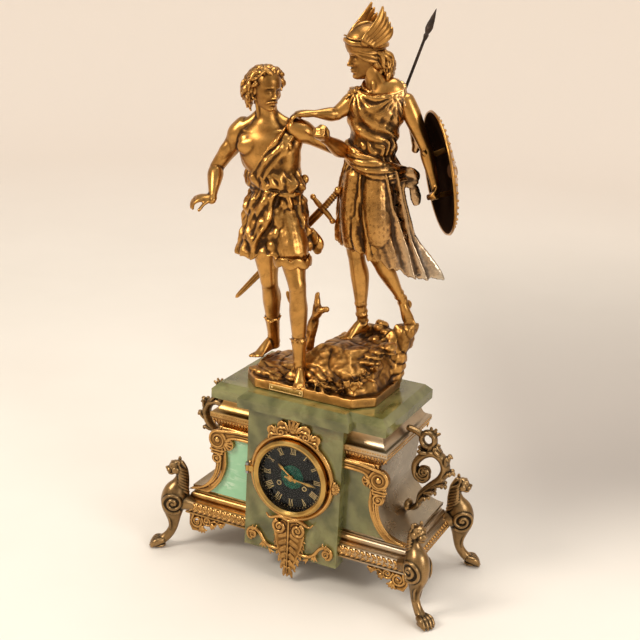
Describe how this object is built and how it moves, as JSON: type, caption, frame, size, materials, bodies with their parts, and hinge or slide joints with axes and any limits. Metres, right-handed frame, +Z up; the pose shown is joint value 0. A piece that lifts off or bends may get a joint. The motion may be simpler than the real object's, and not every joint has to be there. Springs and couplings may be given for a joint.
{
  "type": "figural mantel clock",
  "caption": "Green onyx mantel clock with gilt mounts, feline-headed legs and two gilt figures on a rock, a youth and a maiden with winged helmet, shield and spear.",
  "frame": {"origin": "floor level under the middle of the plinth", "axes": "+Z up, the dial faces -Y, +X is to the right as seen from the front"},
  "size_m": [0.45, 0.2216, 0.7862],
  "materials": {
    "gilt_spelter": "antique gilt with brown patina in the recesses",
    "gilt_mount": "cast and gilt",
    "green_onyx": "polished, banded",
    "mint_onyx": "polished, white veins",
    "brass": "polished",
    "steel": "ground",
    "wood": "unfinished",
    "black_slate": "polished, gilt numerals",
    "malachite": "polished",
    "glass": "clear",
    "bell_metal": "turned",
    "black_iron": "blackened"
  },
  "bodies": {
    "case": {"rock_base": "gilt_spelter", "youth_tunic": "gilt_spelter", "youth_torso": "gilt_spelter", "youth_head": "gilt_spelter", "youth_right_arm": "gilt_spelter", "youth_left_arm": "gilt_spelter", "youth_legs": "gilt_spelter", "sword": "gilt_spelter", "maiden_gown": "gilt_spelter", "maiden_torso": "gilt_spelter", "maiden_head": "gilt_spelter", "winged_helmet": "gilt_spelter", "maiden_right_arm": "gilt_spelter", "maiden_left_arm": "gilt_spelter", "maiden_legs": "gilt_spelter", "shield": "gilt_spelter", "cornice": "gilt_mount", "base_moulding": "gilt_mount", "side_plates": "gilt_mount", "scroll_mounts": "gilt_mount", "left_handle": "gilt_mount", "right_handle": "gilt_mount", "front_left_leg": "gilt_mount", "front_right_leg": "gilt_mount", "rear_left_leg": "gilt_mount", "rear_right_leg": "gilt_mount", "front_aprons": "gilt_mount", "dial_surround": "gilt_mount", "leaf_pendant": "gilt_mount", "top_slab": "green_onyx", "centre_block": "green_onyx", "right_panel": "green_onyx", "back_panel": "green_onyx", "left_panel": "mint_onyx", "hinge_pins": "brass", "movement_frame": "brass", "train": "brass", "movement_straps": "brass", "plaque": "brass", "suspension": "steel", "bell_stand": "steel", "figure_fixings": "steel", "case_boards": "wood", "dial": "black_slate", "dial_centre": "malachite", "bell": "bell_metal", "spear": "black_iron"},
    "bezel_door": {"bezel": "brass", "bezel_glass": "glass"},
    "minute_hand_body": {"minute_hand": "brass", "cannon_pinion": "brass"},
    "hour_hand_body": {"hour_hand": "brass", "hour_wheel": "brass"},
    "minute_wheel_body": {"minute_wheel": "brass"},
    "going_winder": {"going_arbor": "steel"},
    "strike_winder": {"strike_arbor": "steel"},
    "pendulum_body": {"pendulum": "brass"},
    "crutch_body": {"crutch": "steel"},
    "hammer_body": {"hammer": "steel"},
    "back_door_body": {"back_door": "brass"}
  },
  "joints": [
    {"name": "minute_hand_turn", "type": "hinge", "parent": "case", "child": "minute_hand_body", "pos_m": [0, -0.0918, 0.162], "axis": [0, 1, 0], "continuous": true},
    {"name": "hour_hand_turn", "type": "hinge", "parent": "case", "child": "hour_hand_body", "pos_m": [0, -0.0892, 0.162], "axis": [0, 1, 0], "continuous": true},
    {"name": "minute_wheel_turn", "type": "hinge", "parent": "case", "child": "minute_wheel_body", "pos_m": [0, -0.0755, 0.1764], "axis": [0, 1, 0], "continuous": true},
    {"name": "going_winding", "type": "hinge", "parent": "case", "child": "going_winder", "pos_m": [-0.0195, -0.087, 0.149], "axis": [0, 1, 0], "continuous": true},
    {"name": "strike_winding", "type": "hinge", "parent": "case", "child": "strike_winder", "pos_m": [0.0195, -0.087, 0.149], "axis": [0, 1, 0], "continuous": true},
    {"name": "pendulum_swing", "type": "hinge", "parent": "case", "child": "pendulum_body", "pos_m": [0, -0.0275, 0.196], "axis": [0, 1, 0], "range_deg": [-4, 4]},
    {"name": "crutch_swing", "type": "hinge", "parent": "case", "child": "crutch_body", "pos_m": [0, -0.0343, 0.196], "axis": [0, 1, 0], "range_deg": [-4, 4]},
    {"name": "hammer_lift", "type": "hinge", "parent": "case", "child": "hammer_body", "pos_m": [-0.034, -0.0325, 0.138], "axis": [0, 1, 0], "range_deg": [-10, 0]},
    {"name": "bezel_open", "type": "hinge", "parent": "case", "child": "bezel_door", "pos_m": [-0.0669, -0.0919, 0.162], "axis": [0, 0, -1], "range_deg": [0, 110]},
    {"name": "back_door_open", "type": "hinge", "parent": "case", "child": "back_door_body", "pos_m": [0.0454, 0.0729, 0.162], "axis": [0, 0, -1], "range_deg": [0, 110]}
  ],
  "couplings": [
    {"joint": "hour_hand_turn", "follows": "minute_hand_turn", "ratio": 0.083333},
    {"joint": "minute_wheel_turn", "follows": "minute_hand_turn", "ratio": -0.33333},
    {"joint": "crutch_swing", "follows": "pendulum_swing", "ratio": 1}
  ]
}
